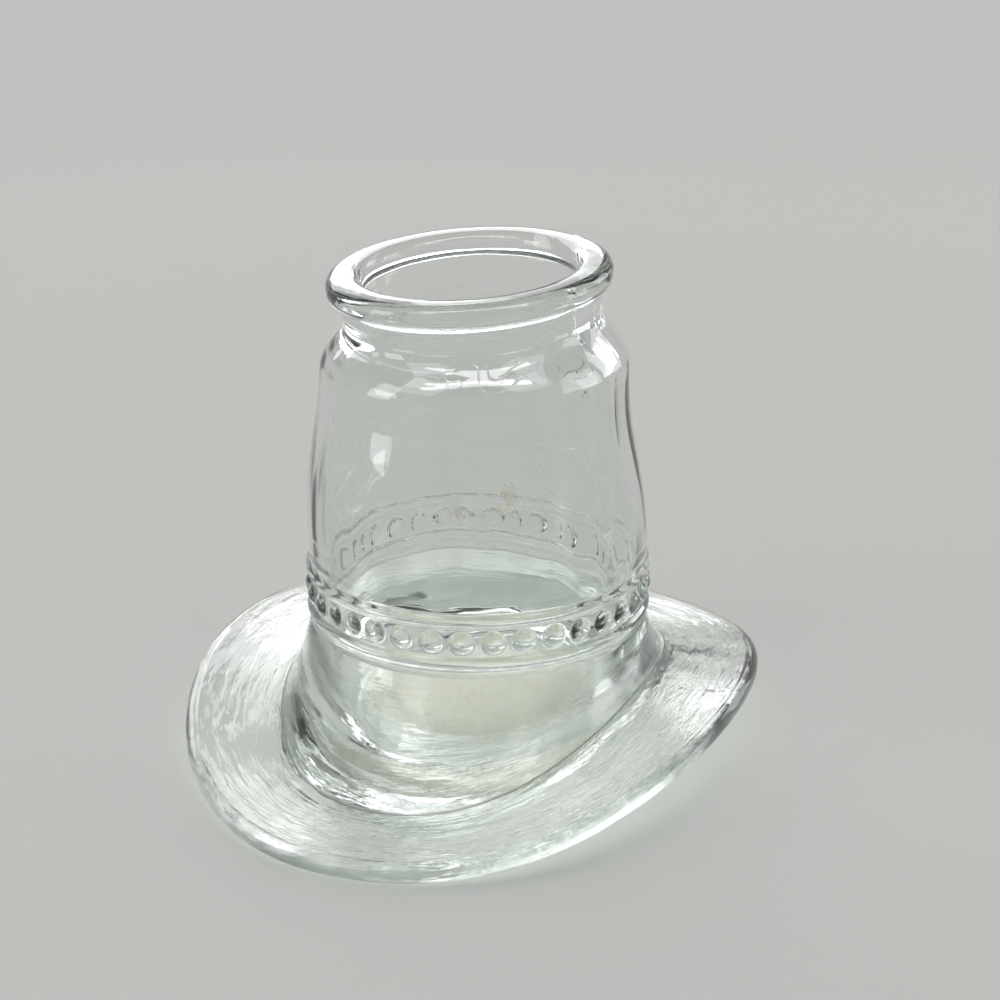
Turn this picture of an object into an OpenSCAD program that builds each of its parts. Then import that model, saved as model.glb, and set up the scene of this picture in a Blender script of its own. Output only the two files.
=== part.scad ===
// Glass hat: a small jar of clear moulded glass in the shape of a hat, with a
// rolled lip, a waisted neck, a beaded hatband and a curled oval brim.
// Millimetres. +Z is up, the front of the brim points to -Y, the curled-up
// sides to +X and -X, and the origin is the middle of the base on the table.

/* [Mouth] */
// Diameter of the opening at its narrowest
mouth_d = 29.8; // [24:0.2:34]
// Outside diameter of the lip
lip_d = 39.8; // [36:0.2:46]
// Height of the lip, from its underside to its top
lip_h = 3.9; // [2.5:0.1:6]
// Corner radius round the outside of the lip
lip_round = 1.7; // [0.4:0.1:2]
// Corner radius where the lip turns down into the opening
mouth_round = 1.7; // [0.3:0.1:2]
// Lean of the mouth off level, in degrees
mouth_lean = 5; // [0:0.5:8]
// Direction of the mouth's high side, in degrees from +X towards +Y
mouth_lean_dir = 68; // [0:1:359]

/* [Neck] */
// Outside diameter of the waist under the lip
neck_d = 36.1; // [33:0.1:42]
// Height of the shoulder curve, from the crown up to the waist
shoulder_h = 7.7; // [4:0.1:12]
// How square the shoulder is, 1 for an even curve
shoulder_square = 1.2; // [1:0.1:2]
// Height of the neck, from its waist up to the lip
neck_h = 3.3; // [1:0.1:8]

/* [Crown] */
// Outside diameter of the crown at the top, under the shoulder
crown_top_d = 43.6; // [38:0.1:48]
// Outside diameter of the crown at the bottom, at the hatband
crown_d = 48.9; // [44:0.1:52]
// Height of the crown wall, from the hatband up to the shoulder
crown_h = 27.6; // [15:0.1:50]
// How square the crown is, 1 for an even taper
crown_square = 1.3; // [1:0.05:2]
// Thickness of the wall
wall = 2.6; // [1.5:0.1:4]

/* [Hatband] */
// Distance between the two cords, centre to centre
cord_gap = 6.1; // [5:0.1:10]
// Thickness of a cord
cord_d = 2.2; // [1.2:0.1:3]
// How far a cord stands out of the wall
cord_rise = 0.55; // [0.2:0.05:1]
// Plain wall from a cord's centre to the edge of the band
band_margin = 1.3; // [1:0.1:4]
// Number of beads round the band
bead_count = 36; // [12:1:44]
// Turn of the first bead from the mould seam, in degrees
bead_turn = 6.8; // [0:0.1:30]
// Width of a bead
bead_d = 3.2; // [1.5:0.1:3.8]
// How far a bead stands out of the wall
bead_rise = 0.7; // [0.2:0.05:1.5]

/* [Well] */
// Thickness of the floor under the well
floor_t = 3; // [1.5:0.1:8]
// Width of the well from side to side, just above the floor
well_w = 44.6; // [30:0.1:46]
// Length of the well from front to back, just above the floor
well_l = 58; // [44:0.1:64]
// How far the wall of the well rounds in to the floor
well_fillet = 4; // [1:0.1:8]
// Width of the flat that stands on the table
base_w = 46; // [40:0.5:50]
// Length of the flat that stands on the table
base_l = 60; // [52:0.5:70]
// Diameter of the recess in the base
recess_d = 27; // [10:0.5:34]
// Depth of the recess
recess_depth = 0.5; // [0.2:0.1:1]

/* [Foot] */
// Height of the flared foot, from the table up to the hatband
foot_h = 18.4; // [14:0.1:30]
// Width of the flared foot from side to side, where it meets the brim
foot_w = 52.6; // [51:0.1:60]
// Length of the flared foot from front to back, where it meets the brim
foot_l = 77.2; // [56:0.1:90]
// Height of the foot line on the brim at the front and back
foot_line_z = 3.7; // [3.2:0.1:8]
// Rise of the foot line from the front to the sides
foot_line_rise = 7; // [0:0.1:11]
// Share of the flare where its curve turns, 0.5 for a straight flare
foot_hollow = 0.36; // [0.1:0.02:0.5]

/* [Brim] */
// Width of the brim from side to side
brim_w = 81; // [65:0.5:110]
// Length of the brim from front to back
brim_l = 102; // [85:0.5:130]
// Thickness of the brim at the foot
brim_t = 3; // [1.5:0.1:3.6]
// Thickness of the brim's round edge
edge_t = 2.8; // [1.5:0.1:3.4]
// Height of the middle of the edge at the front and back
edge_z = 1.8; // [1.6:0.1:6]
// Rise of the edge from the front to the sides
edge_rise = 7.7; // [0:0.1:16]
// Dip of the brim between the foot and the edge at the sides
brim_dip = 0.8; // [0:0.1:3]

/* [Seams] */
// Width of the raised seams left by the two halves of the mould
seam_w = 0.5; // [0.2:0.1:1.5]
// How far a seam stands out of the crown
seam_rise = 0.2; // [0.1:0.05:0.5]

/* [Hidden] */
$fn = 96;

// Colour of the clear glass, and of the same glass where it is thick
clear = [0.84, 0.88, 0.87];
thick = [0.74, 0.80, 0.78];

// Radii
mouth_r = mouth_d / 2;
lip_r = lip_d / 2;
neck_r = neck_d / 2;
crown_top_r = crown_top_d / 2;
crown_r = crown_d / 2;
well_r = crown_r - wall;
lip_c = min(lip_round, lip_h / 2.1);
mouth_c = min(mouth_round, lip_h / 2, (lip_r - lip_c - mouth_r) / 1.1);
// The neck meets the lip where the lip's round edge begins
lip_foot_r = lip_r - lip_c;

// Heights
lower_cord_z = foot_h + band_margin;
upper_cord_z = lower_cord_z + cord_gap;
bead_z = lower_cord_z + cord_gap / 2;
crown_z = upper_cord_z + band_margin;
crown_top_z = crown_z + crown_h;

// Steps along a curve of the profile, and steps round the oval foot and brim
steps = 12;
turns = 72;

// Smooth fall from 1 to 0 while t goes from 0 to 1, level at both ends
function ease(t) = (1 + cos(180 * t)) / 2;

// Outside radius of the crown, t = 0 at the hatband and 1 under the shoulder
function crown_at(t) = crown_top_r + (crown_r - crown_top_r) * ease(pow(t, crown_square));

// Outside radius of the shoulder, t = 0 at the crown and 1 at the waist
function shoulder_at(t) = neck_r + (crown_top_r - neck_r) * ease(pow(t, shoulder_square));

// Points of an arc in the profile
function arc(c, r, a0, a1, n) =
    [for (i = [0:n]) c + r * [cos(a0 + (a1 - a0) * i / n), sin(a0 + (a1 - a0) * i / n)]];

// How far the oval has turned from the front (0) to the side (1)
function sideways(a) = pow(abs(cos(a)), 3);

// A point on an oval round the axis, given its width and length
function oval_point(w, l, a, z) = [w / 2 * cos(a), l / 2 * sin(a), z];

// Foot line, on which the foot and the brim meet
function foot_line(a) = oval_point(foot_w, foot_l, a, foot_line_z + foot_line_rise * sideways(a));

// Edge of the flat floor of the well
function floor_edge(a, z) = oval_point(well_w - 2 * well_fillet, well_l - 2 * well_fillet, a, z);

// Curve from p to q that is drawn towards c
function bend(p, c, q, t) = (1 - t) * (1 - t) * p + 2 * t * (1 - t) * c + t * t * q;

// Section of the foot at the turn a: base, well, flare, foot line
function foot_section(a) =
    let (
        inner = oval_point(2 * well_r, 2 * well_r, a, foot_h),
        corner = oval_point(well_w, well_l, a, floor_t),
        top = oval_point(crown_d, crown_d, a, foot_h),
        line = foot_line(a),
        turn = [
            top[0] + (line[0] - top[0]) * foot_hollow,
            top[1] + (line[1] - top[1]) * foot_hollow,
            line[2] + (top[2] - line[2]) * foot_hollow
        ]
    )
    concat(
        [oval_point(base_w, base_l, a, 0), floor_edge(a, 0)],
        [for (i = [0:8]) bend(floor_edge(a, floor_t), corner, inner, i / 8)],
        [for (i = [0:8]) bend(top, turn, line, i / 8)],
        [line - [0, 0, brim_t]]
    );

// Section of the brim at the turn a: upper face, round edge, underside
function brim_section(a) =
    let (
        line = foot_line(a),
        half = edge_t / 2,
        out = [cos(a) * (brim_l / 2), sin(a) * (brim_w / 2), 0],
        way = out / norm(out),
        tip = [
            (brim_w / 2 - half) * cos(a),
            (brim_l / 2 - half) * sin(a),
            edge_z + edge_rise * sideways(a)
        ],
        up = tip + [0, 0, half],
        low = tip - [0, 0, half],
        root = line - [0, 0, brim_t],
        dip = brim_dip * sideways(a)
    )
    concat(
        [for (i = [0:4]) line + (up - line) * i / 5 - [0, 0, dip * 4 * i / 5 * (1 - i / 5)]],
        [for (i = [0:6]) tip + half * (sin(30 * i) * way + [0, 0, cos(30 * i)])],
        [for (i = [4:-1:0]) root + (low - root) * i / 5 - [0, 0, dip * 4 * i / 5 * (1 - i / 5)]]
    );

// Closed ring through one section after another, all with as many points
module swept_ring(sections) {
    n = len(sections);
    m = len(sections[0]);
    polyhedron(
        points = [for (s = sections) each s],
        faces = [for (i = [0:n - 1]) for (j = [0:m - 1])
            let (
                p = i * m + j,
                q = i * m + (j + 1) % m,
                u = ((i + 1) % n) * m + j,
                v = ((i + 1) % n) * m + (j + 1) % m
            )
            each [[p, q, v], [p, v, u]]]
    );
}

// Turns its children about the top of the crown, so that the mouth leans
module leaning() {
    translate([0, 0, crown_top_z])
        rotate(a = mouth_lean, v = [sin(mouth_lean_dir), -cos(mouth_lean_dir), 0])
            children();
}

// Rolled lip round the mouth
module mouth_lip() {
    z = shoulder_h + neck_h;
    color(clear) leaning() rotate_extrude() polygon(concat(
        [[mouth_r, z]],
        arc([lip_foot_r, z + lip_c], lip_c, -90, 0, 6),
        arc([lip_foot_r, z + lip_h - lip_c], lip_c, 0, 90, 6),
        arc([mouth_r + mouth_c, z + lip_h - mouth_c], mouth_c, 90, 180, 4)
    ));
}

// Waisted neck, with the shoulder that joins it to the crown
module neck() {
    z = shoulder_h + neck_h;
    color(clear) leaning() rotate_extrude() polygon(concat(
        [for (i = [0:steps]) [shoulder_at(i / steps), shoulder_h * i / steps]],
        [for (i = [1:4])
            [neck_r + (lip_foot_r - neck_r) * (1 - cos(90 * i / 4)), shoulder_h + neck_h * i / 4]],
        [[mouth_r, z]],
        [for (i = [steps:-1:0])
            [mouth_r + (crown_top_r - wall - mouth_r) * ease(i / steps), shoulder_h * i / steps]]
    ));
}

// Crown between the hatband and the shoulder, cut off where the neck leans
module crown_wall() {
    reach = crown_top_r * tan(mouth_lean) + 1;
    color(clear) difference() {
        rotate_extrude() polygon(concat(
            [for (i = [0:steps]) [crown_at(i / steps), crown_z + crown_h * i / steps]],
            [[crown_top_r, crown_top_z + reach], [crown_top_r - wall, crown_top_z + reach]],
            [for (i = [steps:-1:0]) [crown_at(i / steps) - wall, crown_z + crown_h * i / steps]]
        ));
        leaning() translate([0, 0, crown_h]) cube([4 * crown_d, 4 * crown_d, 2 * crown_h], center = true);
    }
}

// Plain wall behind the cords and the beads
module band_wall() {
    color(clear) translate([0, 0, foot_h]) difference() {
        cylinder(r = crown_r, h = crown_z - foot_h);
        translate([0, 0, -1]) cylinder(r = well_r, h = crown_z - foot_h + 2);
    }
}

// Half-round cord on the wall at the height z
module cord(z) {
    rotate_extrude() difference() {
        translate([crown_r + cord_rise - cord_d / 2, z]) circle(d = cord_d);
        translate([crown_r - 2 * cord_d, z - cord_d]) square([2 * cord_d, 2 * cord_d]);
    }
}

module upper_cord() {
    color(clear) cord(upper_cord_z);
}

module lower_cord() {
    color(clear) cord(lower_cord_z);
}

// Row of round beads between the cords, each a dome that is seated on the wall
module bead_row() {
    r = (bead_d * bead_d / 4 + bead_rise * bead_rise) / (2 * bead_rise);
    color(clear) for (i = [0:bead_count - 1])
        rotate([0, 0, bead_turn + 360 * i / bead_count]) translate([crown_r, 0, bead_z]) rotate([0, 90, 0])
            rotate_extrude() intersection() {
                translate([0, bead_rise - r]) circle(r = r);
                square([bead_d, bead_rise + 1]);
            }
}

// Flared foot, round at the hatband and oval on the brim
module crown_foot() {
    color(thick) swept_ring([for (i = [0:turns - 1]) foot_section(360 * i / turns)]);
}

// Oval floor of the well, with a recess in the base
module well_floor() {
    color(thick) difference() {
        linear_extrude(floor_t)
            polygon([for (i = [0:turns - 1]) let (p = floor_edge(360 * i / turns, 0)) [p[0], p[1]]]);
        translate([0, 0, -1]) cylinder(d = recess_d, h = recess_depth + 1);
    }
}

// Oval brim, low at the front and back and curled up at the sides
module brim() {
    color(clear) swept_ring([for (i = [0:turns - 1]) brim_section(360 * i / turns)]);
}

// Seams of the mould, up both sides of the crown
module mould_seams() {
    reach = crown_top_r * tan(mouth_lean) + seam_w;
    last = 1 - reach / crown_h;
    color(clear) for (side = [0, 180]) rotate([0, 0, side]) rotate([90, 0, 0])
        linear_extrude(seam_w, center = true) polygon(concat(
            [for (i = [0:steps])
                [crown_at(last * i / steps) + seam_rise, crown_z + crown_h * last * i / steps]],
            [for (i = [steps:-1:0])
                [crown_at(last * i / steps), crown_z + crown_h * last * i / steps]]
        ));
}

mouth_lip();
neck();
crown_wall();
upper_cord();
bead_row();
lower_cord();
band_wall();
crown_foot();
well_floor();
brim();
mould_seams();
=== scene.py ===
"""Glass hat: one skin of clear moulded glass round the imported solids, on a plain pale stage."""

import math
from types import SimpleNamespace

import bpy
import numpy as np
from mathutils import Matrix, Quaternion, Vector, noise


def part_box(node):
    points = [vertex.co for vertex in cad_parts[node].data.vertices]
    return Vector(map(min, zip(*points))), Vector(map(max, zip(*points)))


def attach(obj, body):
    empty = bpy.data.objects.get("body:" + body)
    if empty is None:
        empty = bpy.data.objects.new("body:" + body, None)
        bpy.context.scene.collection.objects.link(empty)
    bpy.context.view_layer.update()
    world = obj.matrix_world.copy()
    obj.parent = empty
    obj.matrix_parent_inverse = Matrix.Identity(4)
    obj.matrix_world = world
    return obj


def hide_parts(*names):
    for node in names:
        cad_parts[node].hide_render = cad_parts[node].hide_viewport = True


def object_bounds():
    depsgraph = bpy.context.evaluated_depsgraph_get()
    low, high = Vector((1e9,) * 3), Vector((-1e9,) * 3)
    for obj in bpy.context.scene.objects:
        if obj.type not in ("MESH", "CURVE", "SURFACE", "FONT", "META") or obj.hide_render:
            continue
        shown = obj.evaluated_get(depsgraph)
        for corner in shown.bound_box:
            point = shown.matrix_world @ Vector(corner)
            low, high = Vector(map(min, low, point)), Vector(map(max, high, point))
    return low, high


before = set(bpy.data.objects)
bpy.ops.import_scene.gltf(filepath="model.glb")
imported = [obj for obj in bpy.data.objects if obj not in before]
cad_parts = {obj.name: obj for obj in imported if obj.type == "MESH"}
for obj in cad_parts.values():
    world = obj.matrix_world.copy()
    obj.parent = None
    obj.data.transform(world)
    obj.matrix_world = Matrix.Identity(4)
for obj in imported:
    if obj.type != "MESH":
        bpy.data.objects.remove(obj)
cad_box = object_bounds()

bl_info = {
    "name": "Glass hat",
    "version": (1, 0, 0),
    "blender": (4, 5, 0),
    "location": "3D View > Sidebar > Glass hat",
    "description": "Builds a small clear glass hat with a beaded band, and a pale stage for it",
    "category": "Object",
}

MM = 0.001
TURN = 2 * math.pi


def extent(node, axis):
    """Size of a solid of the frame along an axis, in metres."""
    low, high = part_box(node)
    return high[axis] - low[axis]


def middle(node, axis):
    """Middle of a solid of the frame along an axis, in metres."""
    low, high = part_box(node)
    return (low[axis] + high[axis]) / 2


def linear(colour):
    """Linear RGBA of an sRGB hex colour."""
    channels = [int(colour[i:i + 2], 16) / 255 for i in (1, 3, 5)]
    return [c / 12.92 if c <= 0.04045 else ((c + 0.055) / 1.055) ** 2.4 for c in channels] + [1.0]


def size(name, description, metres):
    """A length that a user may change."""
    return bpy.props.FloatProperty(
        name=name, description=description, default=metres, min=0.0, unit="LENGTH", precision=5)


def colour(name, description, code):
    """A colour that a user may change, from its sRGB hex code."""
    return bpy.props.FloatVectorProperty(
        name=name, description=description, default=linear(code), size=4, min=0.0, max=1.0, subtype="COLOR")


def angle(name, description, degrees):
    """An angle that a user may change."""
    return bpy.props.FloatProperty(
        name=name, description=description, default=math.radians(degrees), subtype="ANGLE")


BAND_LOW, BAND_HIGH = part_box("band_wall")


class GlassHatSizes(bpy.types.PropertyGroup):
    """Sizes of the glass; those of the brim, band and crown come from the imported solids."""
    lip_d: size("Lip diameter", "Outside diameter of the rolled lip", 39.8 * MM)
    lip_h: size("Lip height", "Height of the lip along its leaning axis", 3.9 * MM)
    lip_round: size("Lip rounding", "Corner radius round the outside of the lip", 1.7 * MM)
    mouth_d: size("Mouth diameter", "Diameter of the opening at its narrowest", 29.8 * MM)
    mouth_round: size("Mouth rounding", "Corner radius where the lip turns into the opening", 1.7 * MM)
    mouth_lean: angle("Mouth lean", "Lean of the mouth off level", 5)
    mouth_lean_dir: angle("Lean direction", "Direction of the mouth's high side, from +X", 68)
    neck_d: size("Neck diameter", "Outside diameter of the waist under the lip", 36.1 * MM)
    neck_h: size("Neck height", "Height from the waist up to the lip", 3.3 * MM)
    shoulder_h: size("Shoulder height", "Height of the shoulder curve", 7.7 * MM)
    crown_top_d: size("Crown top diameter", "Outside diameter under the shoulder", 43.6 * MM)
    crown_d: size("Crown diameter", "Outside diameter at the hatband", extent("band_wall", 0))
    crown_z: size("Crown bottom", "Height of the hatband's upper edge", BAND_HIGH[2])
    crown_h: size("Crown height", "Height of the crown above the hatband", 27.6 * MM)
    wall: size("Wall", "Thickness of the crown's wall", 2.6 * MM)
    upper_cord_z: size("Upper cord", "Height of the upper cord", middle("upper_cord", 2))
    lower_cord_z: size("Lower cord", "Height of the lower cord", middle("lower_cord", 2))
    cord_d: size("Cord thickness", "Thickness of a cord of the band", 2.2 * MM)
    cord_rise: size("Cord rise", "How far a cord stands out", 0.55 * MM)
    bead_z: size("Bead height", "Height of the row of beads", middle("bead_row", 2))
    bead_d: size("Bead width", "Width of a bead", extent("bead_row", 2))
    bead_rise: size("Bead rise", "How far a bead stands out", 0.7 * MM)
    beads: bpy.props.IntProperty(name="Beads", description="Number of beads round the band", default=36)
    bead_turn: angle("Bead turn", "Turn of the first bead from the mould seam", 6.8)
    foot_h: size("Foot height", "Height of the hatband's lower edge", BAND_LOW[2])
    foot_w: size("Foot width", "Width of the foot on the brim", 52.6 * MM)
    foot_l: size("Foot length", "Length of the foot on the brim", 77.2 * MM)
    foot_line_z: size("Foot line", "Height of the foot line at the front", 3.7 * MM)
    foot_line_rise: size("Foot line rise", "Rise of the foot line towards the sides", 7 * MM)
    floor_t: size("Floor", "Thickness of the floor under the well", 3 * MM)
    well_w: size("Well width", "Width of the well just above its floor", 44.6 * MM)
    well_l: size("Well length", "Length of the well just above its floor", 58 * MM)
    well_fillet: size("Well fillet", "How far the well rounds in to its floor", 4 * MM)
    base_w: size("Base width", "Width of the flat that stands on the table", 46 * MM)
    base_l: size("Base length", "Length of the flat that stands on the table", 60 * MM)
    recess_d: size("Recess", "Diameter of the recess in the base", 27 * MM)
    recess_depth: size("Recess depth", "Depth of the recess in the base", 0.5 * MM)
    brim_w: size("Brim width", "Width of the brim from side to side", extent("brim", 0))
    brim_l: size("Brim length", "Length of the brim from front to back", extent("brim", 1))
    brim_t: size("Brim thickness", "Thickness of the brim at the foot", 3 * MM)
    edge_t: size("Edge thickness", "Thickness of the brim's round edge", 2.8 * MM)
    edge_z: size("Edge height", "Height of the edge's middle at the front", 1.8 * MM)
    edge_rise: size("Edge rise", "Rise of the edge towards the sides", 7.7 * MM)
    brim_dip: size("Brim dip", "Dip of the brim between foot and edge at the sides", 0.8 * MM)
    seam_w: size("Seam width", "Width of a mould seam", 0.5 * MM)
    seam_rise: size("Seam rise", "How far a mould seam stands out of the crown", 0.2 * MM)


class GlassHatFinish(bpy.types.PropertyGroup):
    """Colours of the glass and of the stage."""
    clear: colour("Clear glass", "Tint of the glass at its surface", "#fbfdfc")
    depth: colour("Deep glass", "Colour that thick glass takes on", "#dde4e0")
    cloud: colour("Clouded floor", "Cream cast of the stippled floor of the well", "#e6dcc6")
    # Painted shade: dark colour drawn as a thin line along the crease of the foot line
    speck: colour("Specks", "Colour of the specks in the clouding", "#b4a684")
    crease_shade: colour("Crease_shade", "Colour of the dust in the crease of the foot", "#565854")
    floor: colour("Stage floor", "Colour of the plain floor", "#bcbcba")


class GlassHatStage(bpy.types.PropertyGroup):
    """Place of the camera."""
    azimuth: angle("Azimuth", "Turn of the camera from the front towards +X", 21.6)
    elevation: angle("Elevation", "Height of the camera above the horizon", 20.07)
    roll: angle("Roll", "Roll of the camera", -0.37)
    distance: size("Distance", "Distance from the camera to its target", 274.3 * MM)
    lens: bpy.props.FloatProperty(
        name="Lens", description="Focal length on a 36 mm sensor", default=68.4, subtype="DISTANCE_CAMERA")
    target: bpy.props.FloatVectorProperty(
        name="Target", description="Point that the camera looks at",
        default=(3.02 * MM, 1.2 * MM, 34.4 * MM), size=3, subtype="TRANSLATION")


def plan(group):
    """The hat's sizes in millimetres, with the radii and heights that follow from them."""
    plain = {"beads", "bead_turn", "mouth_lean", "mouth_lean_dir"}
    h = SimpleNamespace()
    for key in group.__annotations__:
        value = getattr(group, key)
        setattr(h, key, value if key in plain else value / MM)
    h.crown_r = h.crown_d / 2
    h.crown_top_r = h.crown_top_d / 2
    h.crown_top_z = h.crown_z + h.crown_h
    h.neck_r = h.neck_d / 2
    h.mouth_r = h.mouth_d / 2
    h.lip_r = h.lip_d / 2
    h.lip_foot_r = h.lip_r - h.lip_round
    h.well_r = h.crown_r - h.wall
    return h


def add(tree, kind, inputs=None, **settings):
    """Adds one node with its settings; inputs are values or sockets, by name or by index."""
    node = tree.nodes.new(kind)
    for key, value in settings.items():
        setattr(node, key, value)
    for key, value in (inputs or {}).items():
        if isinstance(value, bpy.types.NodeSocket):
            tree.links.new(value, node.inputs[key])
        else:
            node.inputs[key].default_value = value
    return node


# Curves of the skin, in millimetres

def ease(t):
    """Smooth fall from 1 to 0 while t goes from 0 to 1, level at both ends."""
    return (1 + np.cos(np.pi * np.asarray(t))) / 2


# How closely the rise of the brim and the foot line keeps to the sides
CURL = 3


def sideways(a):
    """How far the oval has turned from the front (0) to the side (1)."""
    return np.abs(np.cos(a)) ** CURL


def oval(w, l, a, z):
    """Points of an oval round the axis, given its width and length."""
    return np.stack([w / 2 * np.cos(a), l / 2 * np.sin(a), np.broadcast_to(z, a.shape)], axis=1)


def bend(p, c, q, t):
    """Point of the curve from p to q that is drawn towards c."""
    return (1 - t) ** 2 * p + 2 * t * (1 - t) * c + t ** 2 * q


def foot_line(h, a):
    """Oval on which the foot and the brim meet."""
    return oval(h.foot_w, h.foot_l, a, h.foot_line_z + h.foot_line_rise * sideways(a))


def brim_tip(h, a):
    """Middle of the brim's round edge, and the way out of the oval there."""
    half = h.edge_t / 2
    tip = oval(h.brim_w - 2 * half, h.brim_l - 2 * half, a, h.edge_z + h.edge_rise * sideways(a))
    way = np.stack([np.cos(a) * h.brim_l, np.sin(a) * h.brim_w, np.zeros_like(a)], axis=1)
    return tip, way / np.linalg.norm(way, axis=1, keepdims=True)


UP = np.array([0.0, 0.0, 1.0])
# Rings in each stretch of the skin, its ends included
STEPS = {
    "recess": 5, "recess_rim": 5, "base": 5, "under_foot": 7, "under_brim": 10, "edge": 14, "brim": 33,
    "foot": 27, "band": 46, "crown": 41, "shoulder": 30, "neck": 14, "lip_under": 10, "lip_round": 11,
    "lip_top": 7, "mouth": 5, "inner_shoulder": 18, "inner_crown": 32, "inner_band": 11, "well": 22,
    "floor": 15,
}
# Share of the foot's flare at which its curve turns
FOOT_HOLLOW = 0.36
# Width of the slope round the recess, in mm
RECESS_RIM = 0.6


def across(p, q, dip, steps):
    """Rings from p to q, sagging by dip on the way; both ends are included."""
    rings = []
    for s in np.linspace(0, 1, steps):
        rings.append(p + (q - p) * s - UP * (dip * 4 * s * (1 - s))[:, None])
    return rings


def base_rings(h, a):
    """Underside of the floor, from the middle of the recess to the edge of the base."""
    r = h.recess_d / 2
    rings = [np.array([[0.0, 0.0, h.recess_depth]])]
    for s in np.linspace(0.1, 0.97, STEPS["recess"]):
        rings.append(oval(2 * r * s, 2 * r * s, a, h.recess_depth))
    for s in np.linspace(0, 1, STEPS["recess_rim"]):
        d = 2 * (r + RECESS_RIM * s)
        rings.append(oval(d, d, a, h.recess_depth * ease(s)))
    inner = rings[-1]
    outer = oval(h.base_w, h.base_l, a, 0.0)
    rings += [inner + (outer - inner) * s for s in np.linspace(0.2, 1, STEPS["base"])]
    return rings


def under_rings(h, a):
    """Underside from the edge of the base to the brim's round edge."""
    root = foot_line(h, a) - UP * h.brim_t
    tip, _ = brim_tip(h, a)
    straight = np.zeros_like(a)
    dip = h.brim_dip * sideways(a)
    rings = across(oval(h.base_w, h.base_l, a, 0.0), root, straight, STEPS["under_foot"])[1:]
    return rings + across(root, tip - UP * h.edge_t / 2, dip, STEPS["under_brim"])[1:-1]


def edge_rings(h, a):
    """Round edge of the brim, from below to above."""
    tip, way = brim_tip(h, a)
    half = h.edge_t / 2
    turns = np.linspace(-math.pi / 2, math.pi / 2, STEPS["edge"])
    return [tip + half * (math.cos(t) * way + math.sin(t) * UP) for t in turns]


# How far beside the foot line, in mm, a ring keeps its crease thin
CREASE = 0.12


def beside_line(line, away):
    """Ring close beside the foot line, on the way to another ring."""
    way = away - line
    return line + way * CREASE / np.linalg.norm(way, axis=1, keepdims=True)


def brim_rings(h, a):
    """Upper face of the brim, from its edge in to the foot line."""
    tip, _ = brim_tip(h, a)
    dip = h.brim_dip * sideways(a)
    rings = across(tip + UP * h.edge_t / 2, foot_line(h, a), dip, STEPS["brim"])[1:]
    return rings[:-1] + [beside_line(rings[-1], rings[-2]), rings[-1]]


def foot_rings(h, a):
    """Flare of the foot, from the foot line up to the band."""
    line = foot_line(h, a)
    top = oval(h.crown_d, h.crown_d, a, h.foot_h)
    turn = top + (line - top) * FOOT_HOLLOW
    turn[:, 2] = line[:, 2] + (top[:, 2] - line[:, 2]) * FOOT_HOLLOW
    rings = [bend(line, turn, top, t) for t in np.linspace(0, 1, STEPS["foot"])[1:-1]]
    return [beside_line(line, rings[0])] + rings


def cord_height(h, z):
    """How far the cords stand out of the wall at the height z."""
    r = h.cord_d / 2
    rise = 0.0
    for middle_z in (h.lower_cord_z, h.upper_cord_z):
        rise = max(rise, math.sqrt(max(r * r - (z - middle_z) ** 2, 0)) - (r - h.cord_rise))
    return rise


def round_rings(profile, a):
    """Rings of a turned profile, a list of (radius, height)."""
    return [oval(2 * r, 2 * r, a, z) for r, z in profile]


def band_profile(h):
    """Outside of the hatband: the wall with its two cords."""
    heights = np.linspace(h.foot_h, h.crown_z, STEPS["band"])
    return [(h.crown_r + cord_height(h, z), z) for z in heights]


# How square the crown and the shoulder are, 1 for an even curve
CROWN_SQUARE = 1.3
SHOULDER_SQUARE = 1.2


def crown_radius(h, t):
    """Outside radius of the crown, t = 0 at the hatband and 1 under the shoulder."""
    return h.crown_top_r + (h.crown_r - h.crown_top_r) * ease(t ** CROWN_SQUARE)


def crown_profile(h, inset, steps):
    """Wall of the crown from the band up, moved in by inset."""
    return [(crown_radius(h, t) - inset, h.crown_z + h.crown_h * t) for t in np.linspace(0, 1, steps)]


def arc(r, z, radius, start, end, steps):
    """Points of an arc in the profile, between two angles in degrees."""
    return [(r + radius * math.cos(t), z + radius * math.sin(t))
            for t in np.radians(np.linspace(start, end, steps))]


def neck_profile(h):
    """Outside of the shoulder and the neck, up to the lip."""
    spread = h.crown_top_r - h.neck_r
    points = [(h.neck_r + spread * ease(t ** SHOULDER_SQUARE), h.crown_top_z + h.shoulder_h * t)
              for t in np.linspace(0, 1, STEPS["shoulder"])[1:]]
    waist = h.crown_top_z + h.shoulder_h
    flare = h.lip_foot_r - h.neck_r
    points += [(h.neck_r + flare * (1 - math.cos(math.pi / 2 * t)), waist + h.neck_h * t)
               for t in np.linspace(0, 1, STEPS["neck"])[1:]]
    return points


# How far the lip's top is crowned, in mm
LIP_CROWN = 0.06


def lip_profile(h):
    """Rolled lip, from its underside over its crowned top into the mouth."""
    low = h.crown_top_z + h.shoulder_h + h.neck_h
    top = low + h.lip_h
    side = top - LIP_CROWN
    mouth = h.mouth_r + h.mouth_round
    centre = (h.lip_foot_r + mouth) / 2
    half = (h.lip_foot_r - mouth) / 2
    points = arc(h.lip_foot_r, low + h.lip_round, h.lip_round, -85, 0, STEPS["lip_under"])
    points += arc(h.lip_foot_r, side - h.lip_round, h.lip_round, 0, 82, STEPS["lip_round"])
    points += [(centre + half * s, top - LIP_CROWN * s * s) for s in np.linspace(1, -1, STEPS["lip_top"])]
    return points + arc(mouth, side - h.mouth_round, h.mouth_round, 98, 180, STEPS["lip_round"])


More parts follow.
